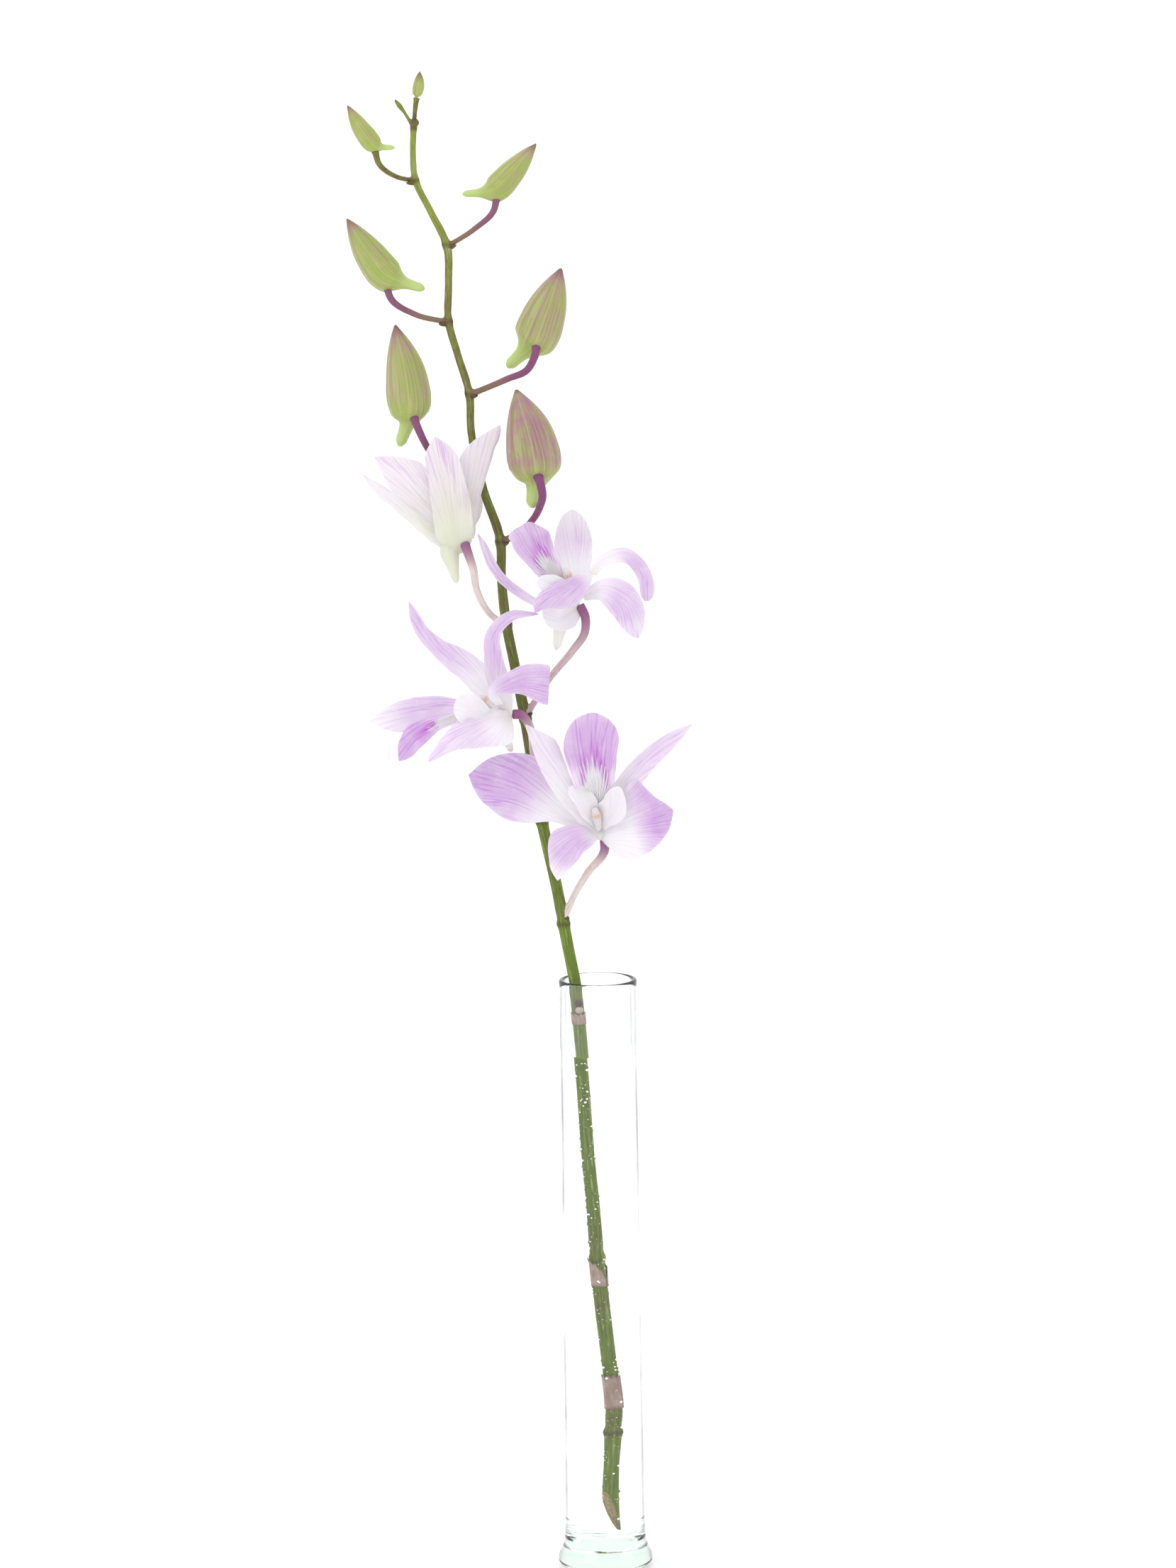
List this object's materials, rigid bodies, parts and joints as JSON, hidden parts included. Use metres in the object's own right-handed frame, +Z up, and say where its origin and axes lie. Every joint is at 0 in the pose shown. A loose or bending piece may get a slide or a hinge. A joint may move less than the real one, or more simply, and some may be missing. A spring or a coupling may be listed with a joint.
{
  "type": "dendrobium orchid in vase",
  "caption": "Cut dendrobium orchid spray with pale lilac blooms and green buds, standing in water in a narrow clear glass cylinder vase with a thick foot.",
  "frame": {"origin": "centre of the vase's flat underside, on the surface it stands on", "axes": "+Z up along the vase, -Y towards the side that the blooms mostly face, +X to the right seen from there"},
  "size_m": [0.1024, 0.0392, 0.4607],
  "materials": {
    "glass": "clear, polished",
    "water": "clear liquid",
    "stalk": "satin, living stem",
    "bud": "satin, living bud",
    "tepal": "soft, thin petal",
    "lip": "soft, thin petal",
    "column": "waxy"
  },
  "bodies": {
    "root": {"vase": "glass", "water": "water", "stem": "stalk", "bud_tip": "bud", "bud_c": "bud", "bud_d": "bud", "bud_e": "bud", "bud_f": "bud", "bud_g": "bud", "bud_h": "bud", "bloom_1_tepals": "tepal", "bloom_1_lip": "lip", "bloom_1_column": "column", "bloom_2_tepals": "tepal", "bloom_2_lip": "lip", "bloom_2_column": "column", "bloom_3_tepals": "tepal", "bloom_3_lip": "lip", "bloom_3_column": "column", "bloom_4_tepals": "tepal", "bloom_4_lip": "lip", "bloom_4_column": "column"}
  },
  "joints": []
}
